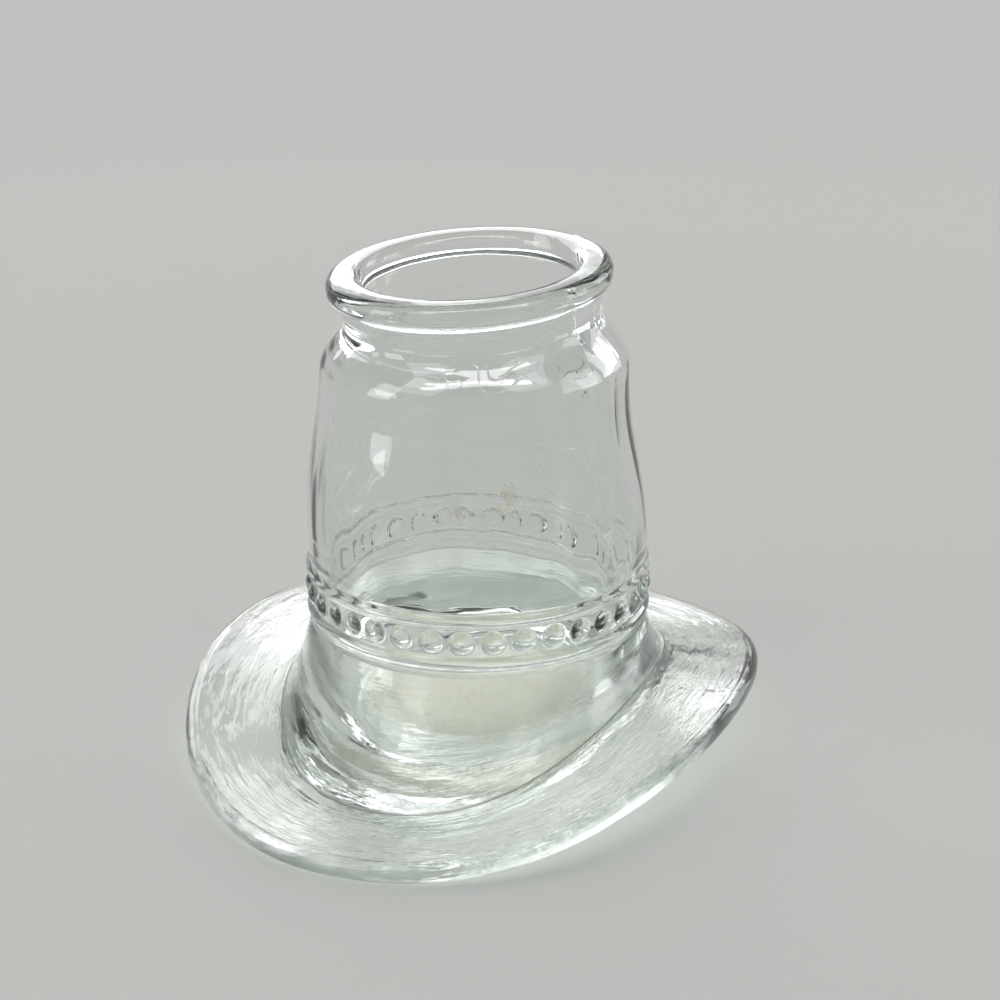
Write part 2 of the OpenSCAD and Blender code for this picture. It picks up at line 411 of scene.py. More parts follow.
def inside_profile(h):
    """Inside of the neck and the crown, from the mouth down to the foot."""
    waist = h.crown_top_z + h.shoulder_h
    start = waist + h.neck_h + h.lip_h - h.mouth_round
    shoulder_r = h.crown_top_r - h.wall
    points = [(h.mouth_r, start + (waist - start) * t) for t in np.linspace(0, 1, STEPS["mouth"])[1:]]
    points += [(h.mouth_r + (shoulder_r - h.mouth_r) * ease(t), h.crown_top_z + h.shoulder_h * t)
               for t in np.linspace(1, 0, STEPS["inner_shoulder"])[1:]]
    points += crown_profile(h, h.wall, STEPS["inner_crown"])[-2::-1]
    return points + [(h.well_r, h.crown_z + (h.foot_h - h.crown_z) * t)
                     for t in np.linspace(0, 1, STEPS["inner_band"])[1:]]


def well_rings(h, a):
    """Inside of the foot, down to the floor of the well."""
    inner = oval(2 * h.well_r, 2 * h.well_r, a, h.foot_h)
    corner = oval(h.well_w, h.well_l, a, h.floor_t)
    edge = oval(h.well_w - 2 * h.well_fillet, h.well_l - 2 * h.well_fillet, a, h.floor_t)
    return [bend(inner, corner, edge, t) for t in np.linspace(0, 1, STEPS["well"])[1:]]


def floor_rings(h, a):
    """Floor of the well, from its edge to the middle."""
    edge = oval(h.well_w - 2 * h.well_fillet, h.well_l - 2 * h.well_fillet, a, h.floor_t)
    centre = np.array([0.0, 0.0, h.floor_t])
    rings = [centre + (edge - centre) * s for s in np.linspace(1, 0.07, STEPS["floor"])[1:]]
    return rings + [centre[None, :]]


# Columns round the hat, and the further ones beside a mould seam, in widths of the seam
COLUMNS = 190
SEAM_BESIDE = np.array([-1.0, -0.5, 0.5, 1.0])


def columns(h):
    """Turns of the columns: even round the hat, with a few more beside each mould seam."""
    even = np.arange(COLUMNS) * TURN / COLUMNS
    beside = SEAM_BESIDE * h.seam_w / h.crown_r
    return np.sort(np.concatenate([even, beside % TURN, math.pi + beside]))


def halved(a):
    """The same turns with another one midway after each."""
    after = np.append(a[1:], a[0] + TURN)
    return np.ravel(np.column_stack([a, (a + after) / 2]))


# How far below the shoulder the mouth's lean begins, in mm
LEAN_START = 1.5


def lean(h, points):
    """Leans points with the mouth: not at all in the crown, in full at the lip."""
    t = np.clip((points[:, 2] - h.crown_top_z + LEAN_START) / (LEAN_START + h.shoulder_h + h.neck_h), 0, 1)
    share = 1 - ease(t)
    axis = np.array([math.sin(h.mouth_lean_dir), -math.cos(h.mouth_lean_dir), 0.0])
    arm = points - UP * h.crown_top_z
    turned = (arm * math.cos(h.mouth_lean) + np.cross(axis, arm) * math.sin(h.mouth_lean)
              + axis * (arm @ axis)[:, None] * (1 - math.cos(h.mouth_lean)))
    return points + (turned - arm) * share[:, None]


# How far the crown bows to one side between the hatband and the waist, in mm, and which way
BOW = 0.5
BOW_WAY = math.radians(201.6)


def bow(h, points):
    """Bows the crown, most of all at half its height."""
    t = np.clip((points[:, 2] - h.crown_z) / (h.crown_h + h.shoulder_h), 0, 1)
    way = np.array([math.cos(BOW_WAY), math.sin(BOW_WAY), 0.0])
    return points + (BOW * np.sin(np.pi * t) ** 2)[:, None] * way


# Slow waves that the mould left in each zone: their lengths along x, y and z, and their depth, in mm
UNEVEN = {
    "under": [((8, 8, 8), 0.05)],
    "brim": [((11, 11, 11), 0.10), ((4, 4, 4), 0.03)],
    "foot": [((12, 12, 12), 0.06)],
    "crown": [((10, 10, 16), 0.07), ((4, 4, 12), 0.02)],
    "neck": [((8, 8, 8), 0.06)],
    "inside": [((4, 4, 24), 0.10), ((15, 15, 18), 0.24)],
    "well": [((9, 9, 9), 0.20), ((4, 4, 4), 0.05)],
    "floor": [((7, 7, 7), 0.14)],
}
# Zones that lie flat, where the waves go up and down
UPWARD = {"under", "brim", "floor"}
# The inside is wavier about this turn from +X, within this reach, both in degrees, by this share
WAVY_TURN = -12.0
WAVY_REACH = 25.0
WAVY_MORE = 1.2


def uneven(zone, points):
    """Moves points of a zone by its slow waves, along the wall's own way."""
    if zone not in UNEVEN or len(points) == 1:
        return points
    moved = points.copy()
    for lengths, depth in UNEVEN[zone]:
        wave = np.array([noise.noise(Vector(p)) for p in points / np.array(lengths)]) * depth
        if zone in UPWARD:
            moved[:, 2] += wave
        else:
            r = np.hypot(points[:, 0], points[:, 1])
            turn = np.degrees(np.arctan2(points[:, 1], points[:, 0]))
            more = 1 + (zone == "inside") * WAVY_MORE * np.exp(-((turn - WAVY_TURN) / WAVY_REACH) ** 2)
            moved[:, :2] += points[:, :2] / r[:, None] * (wave * more)[:, None]
    return moved


def hat_zones(h):
    """Zones of the skin in order, each with its rings from the middle of the base to the well's floor."""
    a = columns(h)
    fine = halved(halved(a))
    mid = halved(a)
    band = band_profile(h)
    crown = crown_profile(h, 0.0, STEPS["crown"])
    return [
        ("base", base_rings(h, a)),
        ("under", under_rings(h, a)),
        ("edge", edge_rings(h, a)),
        ("brim", brim_rings(h, a)),
        ("foot", foot_rings(h, a)),
        ("band", round_rings(band[:1], mid) + round_rings(band[1:-1], fine) + round_rings(band[-1:], mid)),
        ("crown", round_rings(crown[1:], a)),
        ("neck", round_rings(neck_profile(h), a)),
        ("lip", round_rings(lip_profile(h), a)),
        ("inside", round_rings(inside_profile(h), a)),
        ("well", well_rings(h, a)),
        ("floor", floor_rings(h, a)),
    ]


def stitch(counts):
    """Faces of a skin through rings with these numbers of points; a ring may double or halve the last."""
    faces = []
    start = 0
    for n, m in zip(counts, counts[1:]):
        a = start
        b = start + n
        if n == 1:
            faces += [(a, b + (i + 1) % m, b + i) for i in range(m)]
        elif m == 1:
            faces += [(a + i, a + (i + 1) % n, b) for i in range(n)]
        elif n == m:
            faces += [(a + i, a + (i + 1) % n, b + (i + 1) % m, b + i) for i in range(n)]
        elif m == 2 * n:
            for i in range(n):
                p, q = a + i, a + (i + 1) % n
                x, y, z = b + 2 * i, b + 2 * i + 1, b + (2 * i + 2) % m
                faces += [(p, q, y), (q, z, y), (p, y, x)]
        else:
            for i in range(m):
                p, q, r = a + 2 * i, a + 2 * i + 1, a + (2 * i + 2) % n
                x, y = b + i, b + (i + 1) % m
                faces += [(p, q, x), (q, y, x), (q, r, y)]
        start += n
    return faces


# Share of the mould seam's rise that is left in each zone of the fire-polished glass
SEAM_SHARE = {"brim": 0.4, "foot": 0.2, "crown": 0.06, "neck": 0.15}


def seam(h, zone, points):
    """Raises the mould seams along both sides of a zone."""
    if zone not in SEAM_SHARE:
        return points
    near = np.clip(1 - (points[:, 1] / h.seam_w) ** 2, 0, 1)
    rise = near * h.seam_rise * SEAM_SHARE[zone]
    moved = points.copy()
    if zone == "brim":
        moved[:, 2] += rise
    else:
        moved[:, 0] += np.sign(points[:, 0]) * rise
    return moved


# Passes of smoothing where two zones meet at an angle
SOFT_PASSES = 2


def soften(rings, joint):
    """Rounds the skin off at the ring where two zones meet."""
    for _ in range(SOFT_PASSES):
        around = range(joint - 1, joint + 2)
        mended = {k: (rings[k - 1] + 2 * rings[k] + rings[k + 1]) / 4 for k in around}
        for k, ring in mended.items():
            rings[k] = ring


# Length in mm of a ripple across the drag lines, and the ripples along them in a radian round the hat
DRAG_ACROSS = 1.4
DRAG_ROUND = 4.0
# Lengths in mm of a ripple on the upright walls, across and along lines that run up and down
FLOW_ACROSS = 2.2
FLOW_ALONG = 26.0
UPRIGHT = {"band", "crown", "neck", "inside", "well"}
# How strongly the lines show in each zone
DRAG_SHARE = {
    "brim": 1.4, "edge": 0.6, "foot": 0.2, "under": 0.4, "floor": 0.3, "inside": 0.03, "crown": 0.02,
}
# How much more of them there is at the front
DRAG_FRONT = 0.9
# Radius of the clouded round of the floor, and half the width of its edge, in mm
CLOUD_R = 18.6
CLOUD_SOFT = 1.2
# Height up to which the foot of the well's wall is clouded too, in mm
CLOUD_TOP = 5.0
# Dried flecks inside the crown: turn from +X in degrees, height, and their reach across and up in mm
FLECKS = [(119.7, 24.2, 1.3, 1.5), (99.0, 26.6, 2.0, 3.2)]


def clouding(zone, ring):
    """How clouded each point of a ring is: the round of the floor, and the flecks inside the crown."""
    shown = np.zeros(len(ring))
    if zone in ("well", "floor"):
        r = np.hypot(ring[:, 0], ring[:, 1])
        near = ring[:, 2] < CLOUD_TOP
        shown = np.clip((CLOUD_R + CLOUD_SOFT - r) / (2 * CLOUD_SOFT), 0, 1) * near
    elif zone == "inside":
        turn = np.arctan2(ring[:, 1], ring[:, 0])
        for turn_at, z, across_reach, up_reach in FLECKS:
            away = (turn - math.radians(turn_at)) * np.hypot(ring[:, 0], ring[:, 1])
            spot = np.exp(-(away / across_reach) ** 2 - ((ring[:, 2] - z) / up_reach) ** 2)
            shown = np.maximum(shown, spot)
    return shown


# Patches of chill wrinkles on the outside: turn from +X in degrees, height in mm, and their reach in
# degrees and in mm
CHILLS = [(-58.0, 58.6, 16.0, 1.4), (-40.0, 48.0, 9.0, 3.0), (60.0, 50.0, 14.0, 3.0)]


def chill(ring):
    """How much of the chill wrinkles shows at each point of a ring."""
    turn = np.degrees(np.arctan2(ring[:, 1], ring[:, 0]))
    shown = np.zeros(len(ring))
    for turn_at, z, turn_reach, z_reach in CHILLS:
        away = (turn - turn_at + 180) % 360 - 180
        shown = np.maximum(shown, np.exp(-(away / turn_reach) ** 2 - ((ring[:, 2] - z) / z_reach) ** 2))
    return shown


# How far the painted shade in the foot line's crease reaches out on the brim and up the foot, in mm
CREASE_SHADE_REACH = {"brim": 0.1, "foot": 0.6}


def crease_shading(line, zone, ring):
    """How strongly the painted shade darkens the crease of the foot line at each point of a ring."""
    if zone not in CREASE_SHADE_REACH:
        return np.zeros(len(ring))
    away = np.linalg.norm(ring - line, axis=1)
    return np.clip(1 - away / CREASE_SHADE_REACH[zone], 0, 1)


# How far on either side of the foot line the slow waves die out, in mm
CALM = 3.0


def calm_uneven(line, zone, ring):
    """The slow waves of a zone, dying out towards the foot line."""
    moved = uneven(zone, ring)
    if zone not in ("brim", "foot"):
        return moved
    away = np.linalg.norm(ring - line, axis=1)
    share = 1 - ease(np.clip(away / CALM, 0, 1))
    return ring + (moved - ring) * share[:, None]


def hat_rings(h, line):
    """Zone names and rings of the whole skin, with its rounded joints, waves, seams and lean."""
    names = []
    rings = []
    for zone, zone_rings in hat_zones(h):
        names += [zone] * len(zone_rings)
        rings += zone_rings
    # The foot line stays crisp, and so does a ring whose neighbours have other numbers of points
    for k in range(2, len(rings) - 2):
        meets = names[k] != names[k - 1] and names[k] != "foot"
        if meets and len(rings[k - 2]) == len(rings[k + 2]) > 1:
            soften(rings, k)
    rings = [calm_uneven(line, zone, ring) for zone, ring in zip(names, rings)]
    return names, [lean(h, bow(h, seam(h, zone, ring))) for zone, ring in zip(names, rings)]


def glass_skin(h):
    """The hat's skin as points in millimetres, faces and the attributes that its material reads."""
    line = foot_line(h, columns(h))
    names, rings = hat_rings(h, line)
    strand = []
    shares = {name: [] for name in ("clouded", "inside", "drag", "chill", "flat", "crease_shaded")}
    along = 0.0
    last = rings[0].mean(axis=0)
    for zone, ring in zip(names, rings):
        first = ring[len(ring) // 4]
        along += float(np.linalg.norm(first - last))
        last = first
        turn = np.arctan2(ring[:, 1], ring[:, 0])
        if zone in UPRIGHT:
            reach = h.crown_r / FLOW_ACROSS
            lengthways = ring[:, 2] / FLOW_ALONG
        else:
            reach = DRAG_ROUND
            lengthways = np.full(len(ring), along / DRAG_ACROSS)
        strand.append(np.column_stack([np.cos(turn) * reach, np.sin(turn) * reach, lengthways]))
        front = np.clip(-np.sin(turn), 0, 1) ** 2
        shares["clouded"].append(clouding(zone, ring))
        shares["inside"].append(np.full(len(ring), float(zone == "inside")))
        shares["drag"].append(DRAG_SHARE.get(zone, 0.0) * (1 + DRAG_FRONT * front))
        shares["chill"].append(chill(ring) if zone in ("crown", "neck") else np.zeros(len(ring)))
        shares["flat"].append(np.full(len(ring), float(zone in ("under", "brim"))))
        # Painted shade along the crease of the foot line
        shares["crease_shaded"].append(crease_shading(line, zone, ring))
    low = np.array(cad_box[0]) / MM
    high = np.array(cad_box[1]) / MM
    return SimpleNamespace(
        points=np.clip(np.concatenate(rings), low, high),
        faces=stitch([len(ring) for ring in rings]),
        strand=np.concatenate(strand),
        shares={name: np.concatenate(parts) for name, parts in shares.items()})


def new_tree(name, inputs):
    """An empty geometry node tree with these named inputs, given as (name, socket type)."""
    tree = bpy.data.node_groups.new(name, "GeometryNodeTree")
    tree.interface.new_socket("Geometry", in_out="INPUT", socket_type="NodeSocketGeometry")
    for label, kind in inputs:
        tree.interface.new_socket(label, in_out="INPUT", socket_type=kind)
    tree.interface.new_socket("Geometry", in_out="OUTPUT", socket_type="NodeSocketGeometry")
    return tree


def finish_tree(tree, geometry, material):
    """Ends a tree: instances are made real and everything gets the material."""
    real = add(tree, "GeometryNodeRealizeInstances", {"Geometry": geometry})
    dressed = add(tree, "GeometryNodeSetMaterial", {"Geometry": real.outputs[0], "Material": material})
    add(tree, "NodeGroupOutput", {"Geometry": dressed.outputs[0]})


# Power that rounds a bead: 0.5 for half a ball, 1 for a flatter mound
BEAD_DOME = 0.7


def bead_tree():
    """Tree that raises a row of round beads on the skin where it passes a ring of points."""
    tree = new_tree("raise_beads", [
        ("Beads", "NodeSocketInt"), ("Ring radius", "NodeSocketFloat"), ("Height", "NodeSocketFloat"),
        ("Turn", "NodeSocketFloat"), ("Bead width", "NodeSocketFloat"), ("Bead rise", "NodeSocketFloat"),
        ("Unevenness", "NodeSocketFloat"), ("Seed", "NodeSocketInt"), ("Glass", "NodeSocketMaterial")])
    given = add(tree, "NodeGroupInput").outputs
    ring = add(tree, "GeometryNodeMeshCircle", {"Vertices": given["Beads"], "Radius": given["Ring radius"]})
    stray = add(tree, "FunctionNodeRandomValue", {0: (-1, -1, -1), 1: (1, 1, 1), "Seed": given["Seed"]},
                data_type="FLOAT_VECTOR")
    shift = add(tree, "ShaderNodeVectorMath", {0: stray.outputs[0], "Scale": given["Unevenness"]},
                operation="SCALE")
    lift = add(tree, "ShaderNodeCombineXYZ", {"Z": given["Height"]})
    offset = add(tree, "ShaderNodeVectorMath", {0: shift.outputs[0], 1: lift.outputs[0]}, operation="ADD")
    place = add(tree, "GeometryNodeInputPosition")
    turned = add(tree, "ShaderNodeVectorRotate", {"Vector": place.outputs[0], "Angle": given["Turn"]},
                 rotation_type="Z_AXIS")
    centres = add(tree, "GeometryNodeSetPosition", {
        "Geometry": ring.outputs[0], "Position": turned.outputs[0], "Offset": offset.outputs[0]})
    near = add(tree, "GeometryNodeProximity", {0: centres.outputs[0]}, target_element="POINTS")
    half = add(tree, "ShaderNodeMath", {0: given["Bead width"], 1: 0.5}, operation="MULTIPLY")
    share = add(tree, "ShaderNodeMath", {0: near.outputs["Distance"], 1: half.outputs[0]}, operation="DIVIDE")
    square = add(tree, "ShaderNodeMath", {0: share.outputs[0], 1: 2.0}, operation="POWER")
    rest = add(tree, "ShaderNodeMath", {0: 1.0, 1: square.outputs[0]}, operation="SUBTRACT")
    inner = add(tree, "ShaderNodeMath", {0: rest.outputs[0], 1: 0.0}, operation="MAXIMUM")
    dome = add(tree, "ShaderNodeMath", {0: inner.outputs[0], 1: BEAD_DOME}, operation="POWER")
    rise = add(tree, "ShaderNodeMath", {0: dome.outputs[0], 1: given["Bead rise"]}, operation="MULTIPLY")
    flat = add(tree, "ShaderNodeVectorMath", {0: place.outputs[0], 1: (1, 1, 0)}, operation="MULTIPLY")
    way = add(tree, "ShaderNodeVectorMath", {0: flat.outputs[0]}, operation="NORMALIZE")
    push = add(tree, "ShaderNodeVectorMath", {0: way.outputs[0], "Scale": rise.outputs[0]}, operation="SCALE")
    raised = add(tree, "GeometryNodeSetPosition", {"Geometry": given["Geometry"], "Offset": push.outputs[0]})
    finish_tree(tree, raised.outputs[0], given["Glass"])
    return tree


def seed_tree():
    """Tree that leaves a few small gas bubbles, drawn out upwards, inside the wall."""
    tree = new_tree("leave_seeds", [
        ("Density", "NodeSocketFloat"), ("Depth", "NodeSocketFloat"), ("Radius", "NodeSocketFloat"),
        ("Seed", "NodeSocketInt"), ("Glass", "NodeSocketMaterial")])
    given = add(tree, "NodeGroupInput").outputs
    inside = add(tree, "GeometryNodeInputNamedAttribute", {"Name": "inside"}, data_type="FLOAT")
    spots = add(tree, "GeometryNodeDistributePointsOnFaces", {
        "Mesh": given["Geometry"], "Selection": inside.outputs[0],
        "Density": given["Density"], "Seed": given["Seed"]})
    back = add(tree, "ShaderNodeMath", {0: given["Depth"], 1: -1.0}, operation="MULTIPLY")
    inward = add(tree, "ShaderNodeVectorMath", {0: spots.outputs["Normal"], "Scale": back.outputs[0]},
                 operation="SCALE")
    sunk = add(tree, "GeometryNodeSetPosition", {
        "Geometry": spots.outputs["Points"], "Offset": inward.outputs[0]})
    bubble = add(tree, "GeometryNodeMeshIcoSphere", {"Radius": given["Radius"], "Subdivisions": 2})
    hollow = add(tree, "GeometryNodeFlipFaces", {"Mesh": bubble.outputs["Mesh"]})
    smooth = add(tree, "GeometryNodeSetShadeSmooth", {"Geometry": hollow.outputs[0], "Shade Smooth": True})
    spread = add(tree, "FunctionNodeRandomValue", {0: (0.4, 0.4, 0.6), 1: (1, 1, 2.2), "Seed": given["Seed"]},
                 data_type="FLOAT_VECTOR")
    seeds = add(tree, "GeometryNodeInstanceOnPoints", {
        "Points": sunk.outputs[0], "Instance": smooth.outputs[0], "Scale": spread.outputs[0]})
    both = add(tree, "GeometryNodeJoinGeometry")
    tree.links.new(seeds.outputs[0], both.inputs[0])
    tree.links.new(given["Geometry"], both.inputs[0])
    finish_tree(tree, both.outputs[0], given["Glass"])
    return tree


def apply_tree(obj, tree, values):
    """Runs a tree on an object with these named inputs, and keeps the result as its plain mesh."""
    modifier = obj.modifiers.new(tree.name, "NODES")
    modifier.node_group = tree
    for item in tree.interface.items_tree:
        if item.in_out == "INPUT" and item.name in values:
            modifier[item.identifier] = values[item.name]
    graph = bpy.context.evaluated_depsgraph_get()
    mesh = bpy.data.meshes.new_from_object(
        obj.evaluated_get(graph), preserve_all_data_layers=True, depsgraph=graph)
    obj.modifiers.remove(modifier)
    old = obj.data
    obj.data = mesh
    bpy.data.meshes.remove(old)


# Height of the relief in the glass, in mm, and how strong its chill wrinkles are beside the drag lines
RELIEF = 0.3
CHILL_SHARE = 0.28


def relief(tree, place):
    """Normal of the glass: drag lines round the brim, and chill wrinkles in patches on the crown."""
    strand = add(tree, "ShaderNodeAttribute", attribute_name="strand").outputs["Vector"]
    # Drag lines are broad and smooth, and crumpled in patches about 14 mm across
    broad = add(tree, "ShaderNodeTexNoise", {
        "Vector": strand, "Scale": 1.0, "Detail": 2.0, "Roughness": 0.5})
    fine = add(tree, "ShaderNodeTexNoise", {
        "Vector": strand, "Scale": 3.0, "Detail": 3.0, "Roughness": 0.6})
    area = add(tree, "ShaderNodeTexNoise", {"Vector": place, "Scale": 1 / (14 * MM), "Detail": 1.0})
    crumpled = add(tree, "ShaderNodeMapRange", {
        "Value": area.outputs[0], "From Min": 0.42, "From Max": 0.62, "To Min": 0.06, "To Max": 0.5},
        interpolation_type="SMOOTHSTEP")
    drag = add(tree, "ShaderNodeMath", {0: fine.outputs[0], 1: crumpled.outputs[0], 2: broad.outputs[0]},
               operation="MULTIPLY_ADD")
    drawn = add(tree, "ShaderNodeAttribute", attribute_name="drag").outputs["Fac"]
    lines = add(tree, "ShaderNodeMath", {0: drag.outputs[0], 1: drawn}, operation="MULTIPLY")
    # Chill wrinkles are the level lines of a noise about 5 mm across
    slow = add(tree, "ShaderNodeTexNoise", {
        "Vector": place, "Scale": 1 / (5 * MM), "Detail": 1.5, "Distortion": 0.8})
    level = add(tree, "ShaderNodeMath", {0: slow.outputs[0], 1: 0.5}, operation="SUBTRACT")
    away = add(tree, "ShaderNodeMath", {0: level.outputs[0]}, operation="ABSOLUTE")
    wrinkle = add(tree, "ShaderNodeMapRange", {
        "Value": away.outputs[0], "From Min": 0.0, "From Max": 0.03, "To Min": 1.0, "To Max": 0.0},
        interpolation_type="SMOOTHSTEP")
    patch = add(tree, "ShaderNodeAttribute", attribute_name="chill").outputs["Fac"]
    fold = add(tree, "ShaderNodeMath", {0: wrinkle.outputs[0], 1: CHILL_SHARE}, operation="MULTIPLY")
    height = add(tree, "ShaderNodeMath", {0: fold.outputs[0], 1: patch, 2: lines.outputs[0]},
                 operation="MULTIPLY_ADD")
    bump = add(tree, "ShaderNodeBump", {
        "Height": height.outputs[0], "Strength": 1.0, "Distance": RELIEF * MM})
    return bump.outputs[0]


def cast_and_roughness(tree, place, finish):
    """Colour and roughness of the glass: clear, but clouded on the floor and with a line of painted shade
    along the foot line.
    """
    # The stippled floor is mottled in spots of about 2.5 mm
    clouded = add(tree, "ShaderNodeAttribute", attribute_name="clouded").outputs["Fac"]
    mottle = add(tree, "ShaderNodeTexNoise", {
        "Vector": place, "Scale": 1 / (2.5 * MM), "Detail": 4.0, "Roughness": 0.6})
    spots = add(tree, "ShaderNodeMapRange", {
        "Value": mottle.outputs[0], "From Min": 0.25, "From Max": 0.75, "To Min": 0.5, "To Max": 1.0})
    # Its specks and its ragged edges have a grain of about 0.9 mm
    grain = add(tree, "ShaderNodeTexNoise", {
        "Vector": place, "Scale": 1 / (0.9 * MM), "Detail": 3.0, "Roughness": 0.6})
    ragged = add(tree, "ShaderNodeMath", {0: grain.outputs[0], 1: 1.6, 2: clouded}, operation="MULTIPLY_ADD")
    edge = add(tree, "ShaderNodeMapRange", {"Value": ragged.outputs[0], "From Min": 1.15, "From Max": 1.45},
               interpolation_type="SMOOTHSTEP")
    specks = add(tree, "ShaderNodeMapRange", {
        "Value": grain.outputs[0], "From Min": 0.5, "From Max": 0.72, "To Min": 0.0, "To Max": 0.7})
    grimed = add(tree, "ShaderNodeMix", {0: specks.outputs[0], 6: finish.cloud, 7: finish.speck},
                 data_type="RGBA")
    cover = add(tree, "ShaderNodeMath", {0: edge.outputs[0], 1: spots.outputs[0]}, operation="MULTIPLY")
    tint = add(tree, "ShaderNodeMix", {0: cover.outputs[0], 6: finish.clear, 7: grimed.outputs[2]},
               data_type="RGBA")
    # A thin dark line of painted shade lies in the crease of the foot line
    crease_shaded = add(tree, "ShaderNodeAttribute", attribute_name="crease_shaded").outputs["Fac"]
    lined = add(tree, "ShaderNodeMix", {0: crease_shaded, 6: tint.outputs[2], 7: finish.crease_shade}, data_type="RGBA")
    matt = add(tree, "ShaderNodeMath", {0: cover.outputs[0], 1: crease_shaded}, operation="MAXIMUM")
    rough = add(tree, "ShaderNodeMapRange", {"Value": matt.outputs[0], "To Min": 0.012, "To Max": 0.6})
    return lined.outputs[2], rough.outputs[0]


# Light that the walls and the flat brim let straight through to the floor, as linear colours
WALL_PASS = (0.89, 0.91, 0.9, 1.0)
BRIM_PASS = (0.97, 0.99, 0.98, 1.0)


def moulded_glass(finish):
    """Soda-lime glass formed in an iron mould: clear, a little grey-green where it is thick, with fine
    drag lines and chill wrinkles that break up its highlights, and a floor clouded by the plunger."""
    material = bpy.data.materials.new("soda_lime_glass_moulded")
    material.use_nodes = True
    tree = material.node_tree
    tree.nodes.clear()
    place = add(tree, "ShaderNodeTexCoord").outputs["Object"]
    normal = relief(tree, place)
    cast, rough = cast_and_roughness(tree, place, finish)
    glass = add(tree, "ShaderNodeBsdfPrincipled", {
        "Base Color": cast, "Roughness": rough, "IOR": 1.52, "Transmission Weight": 1.0, "Normal": normal})
    # The flat brim lets light straight through, and the walls turn some of it aside
    flat = add(tree, "ShaderNodeAttribute", attribute_name="flat").outputs["Fac"]
    passed = add(tree, "ShaderNodeMix", {0: flat, 6: WALL_PASS, 7: BRIM_PASS}, data_type="RGBA")
    clear_way = add(tree, "ShaderNodeBsdfTransparent", {"Color": passed.outputs[2]})
    path = add(tree, "ShaderNodeLightPath")
    surface = add(tree, "ShaderNodeMixShader", {
        0: path.outputs["Is Shadow Ray"], 1: glass.outputs[0], 2: clear_way.outputs[0]})
    deep = add(tree, "ShaderNodeVolumeAbsorption", {"Color": finish.depth, "Density": 40.0})
    add(tree, "ShaderNodeOutputMaterial", {"Surface": surface.outputs[0], "Volume": deep.outputs[0]})
    return material


# Half the width of the floor, and where it starts to fade into the backdrop, in metres
FLOOR_REACH = 0.6
FLOOR_FADE = 0.35


def pale_floor(finish):
    """Plain matt board that gives only its colour and the hat's soft shadow, and fades out far off."""
    material = bpy.data.materials.new("matt_board")
    material.use_nodes = True
    tree = material.node_tree
    tree.nodes.clear()
    place = add(tree, "ShaderNodeTexCoord").outputs["Object"]
    far = add(tree, "ShaderNodeVectorMath", {0: place}, operation="LENGTH").outputs["Value"]
    fade = add(tree, "ShaderNodeMapRange", {"Value": far, "From Min": FLOOR_FADE, "From Max": FLOOR_REACH},
               interpolation_type="SMOOTHSTEP")
    board = add(tree, "ShaderNodeBsdfPrincipled", {
        "Base Color": finish.floor, "Roughness": 0.9, "Specular IOR Level": 0.1})
    gone = add(tree, "ShaderNodeBsdfTransparent")
    surface = add(tree, "ShaderNodeMixShader", {0: fade.outputs[0], 1: board.outputs[0], 2: gone.outputs[0]})
    add(tree, "ShaderNodeOutputMaterial", {"Surface": surface.outputs[0]})
    return material


ALL_NODES = list(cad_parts)
# Seed of the random draws
SEED = 7
# How far a bead strays from its place, in mm
BEAD_STRAY = 0.06
# Gas bubbles in the wall: how many a square metre, and their radius in mm
SEED_DENSITY = 900.0
SEED_RADIUS = 0.17


class GLASSHAT_OT_glass(bpy.types.Operator):
    """Builds the hat's one skin of glass, with its beads and seeds"""
    bl_idname = "glass_hat.glass"
    bl_label = "Glass"

    def execute(self, context):
        h = plan(context.scene.glass_hat_sizes)
        skin = glass_skin(h)
        mesh = bpy.data.meshes.new("glass_hat")
        mesh.from_pydata((skin.points * MM).tolist(), [], skin.faces)
        mesh.shade_smooth()
        strand = mesh.attributes.new("strand", "FLOAT_VECTOR", "POINT")
        strand.data.foreach_set("vector", skin.strand.ravel())
        for name, values in skin.shares.items():
            share = mesh.attributes.new(name, "FLOAT", "POINT")
            share.data.foreach_set("value", values)
        hat = bpy.data.objects.new("glass_hat", mesh)
        context.collection.objects.link(hat)
        glass = moulded_glass(context.scene.glass_hat_finish)
        apply_tree(hat, bead_tree(), {
            "Beads": h.beads, "Turn": h.bead_turn, "Ring radius": h.crown_r * MM, "Height": h.bead_z * MM,
            "Bead width": h.bead_d * MM, "Bead rise": h.bead_rise * MM,
            "Unevenness": BEAD_STRAY * MM, "Seed": SEED, "Glass": glass})
        apply_tree(hat, seed_tree(), {
            "Density": SEED_DENSITY, "Depth": h.wall / 2 * MM, "Radius": SEED_RADIUS * MM,
            "Seed": SEED, "Glass": glass})
        if not hat.data.polygons:
            raise RuntimeError("the glass has no faces")
        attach(hat, "root")
        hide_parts(*ALL_NODES)
        return {"FINISHED"}


# Softboxes: turn from the camera in degrees, elevation of the middle in degrees, distance, width and
# height in metres, radiance
SOFTBOXES = {
    "back": (197.0, 30.0, 1.6, 1.45, 0.8, 2.6),
    "upper_left": (-50.0, 48.0, 1.2, 0.55, 0.55, 2.2),
    "upper_right": (48.0, 48.0, 1.2, 0.55, 0.55, 2.2),
    "left": (-72.0, 14.0, 0.8, 0.26, 0.4, 4.0),
    "right": (92.0, 14.0, 0.8, 0.3, 0.4, 2.6),
    "right_back": (128.0, 16.0, 1.0, 0.35, 0.5, 2.2),
}
# The same for strips that only draw highlights in the glass, and leave the floor as it is
GLINTS = {
    "top": (0.0, 63.0, 1.1, 1.3, 0.13, 8.0),
    "low": (194.0, 19.0, 1.6, 0.6, 0.4, 2.3),
}


# The overhead light of the floor: its strength, and its spread and tilt in degrees
OVERHEAD_STRENGTH = 1.15
OVERHEAD_SPREAD = 60
OVERHEAD_TILT = -25
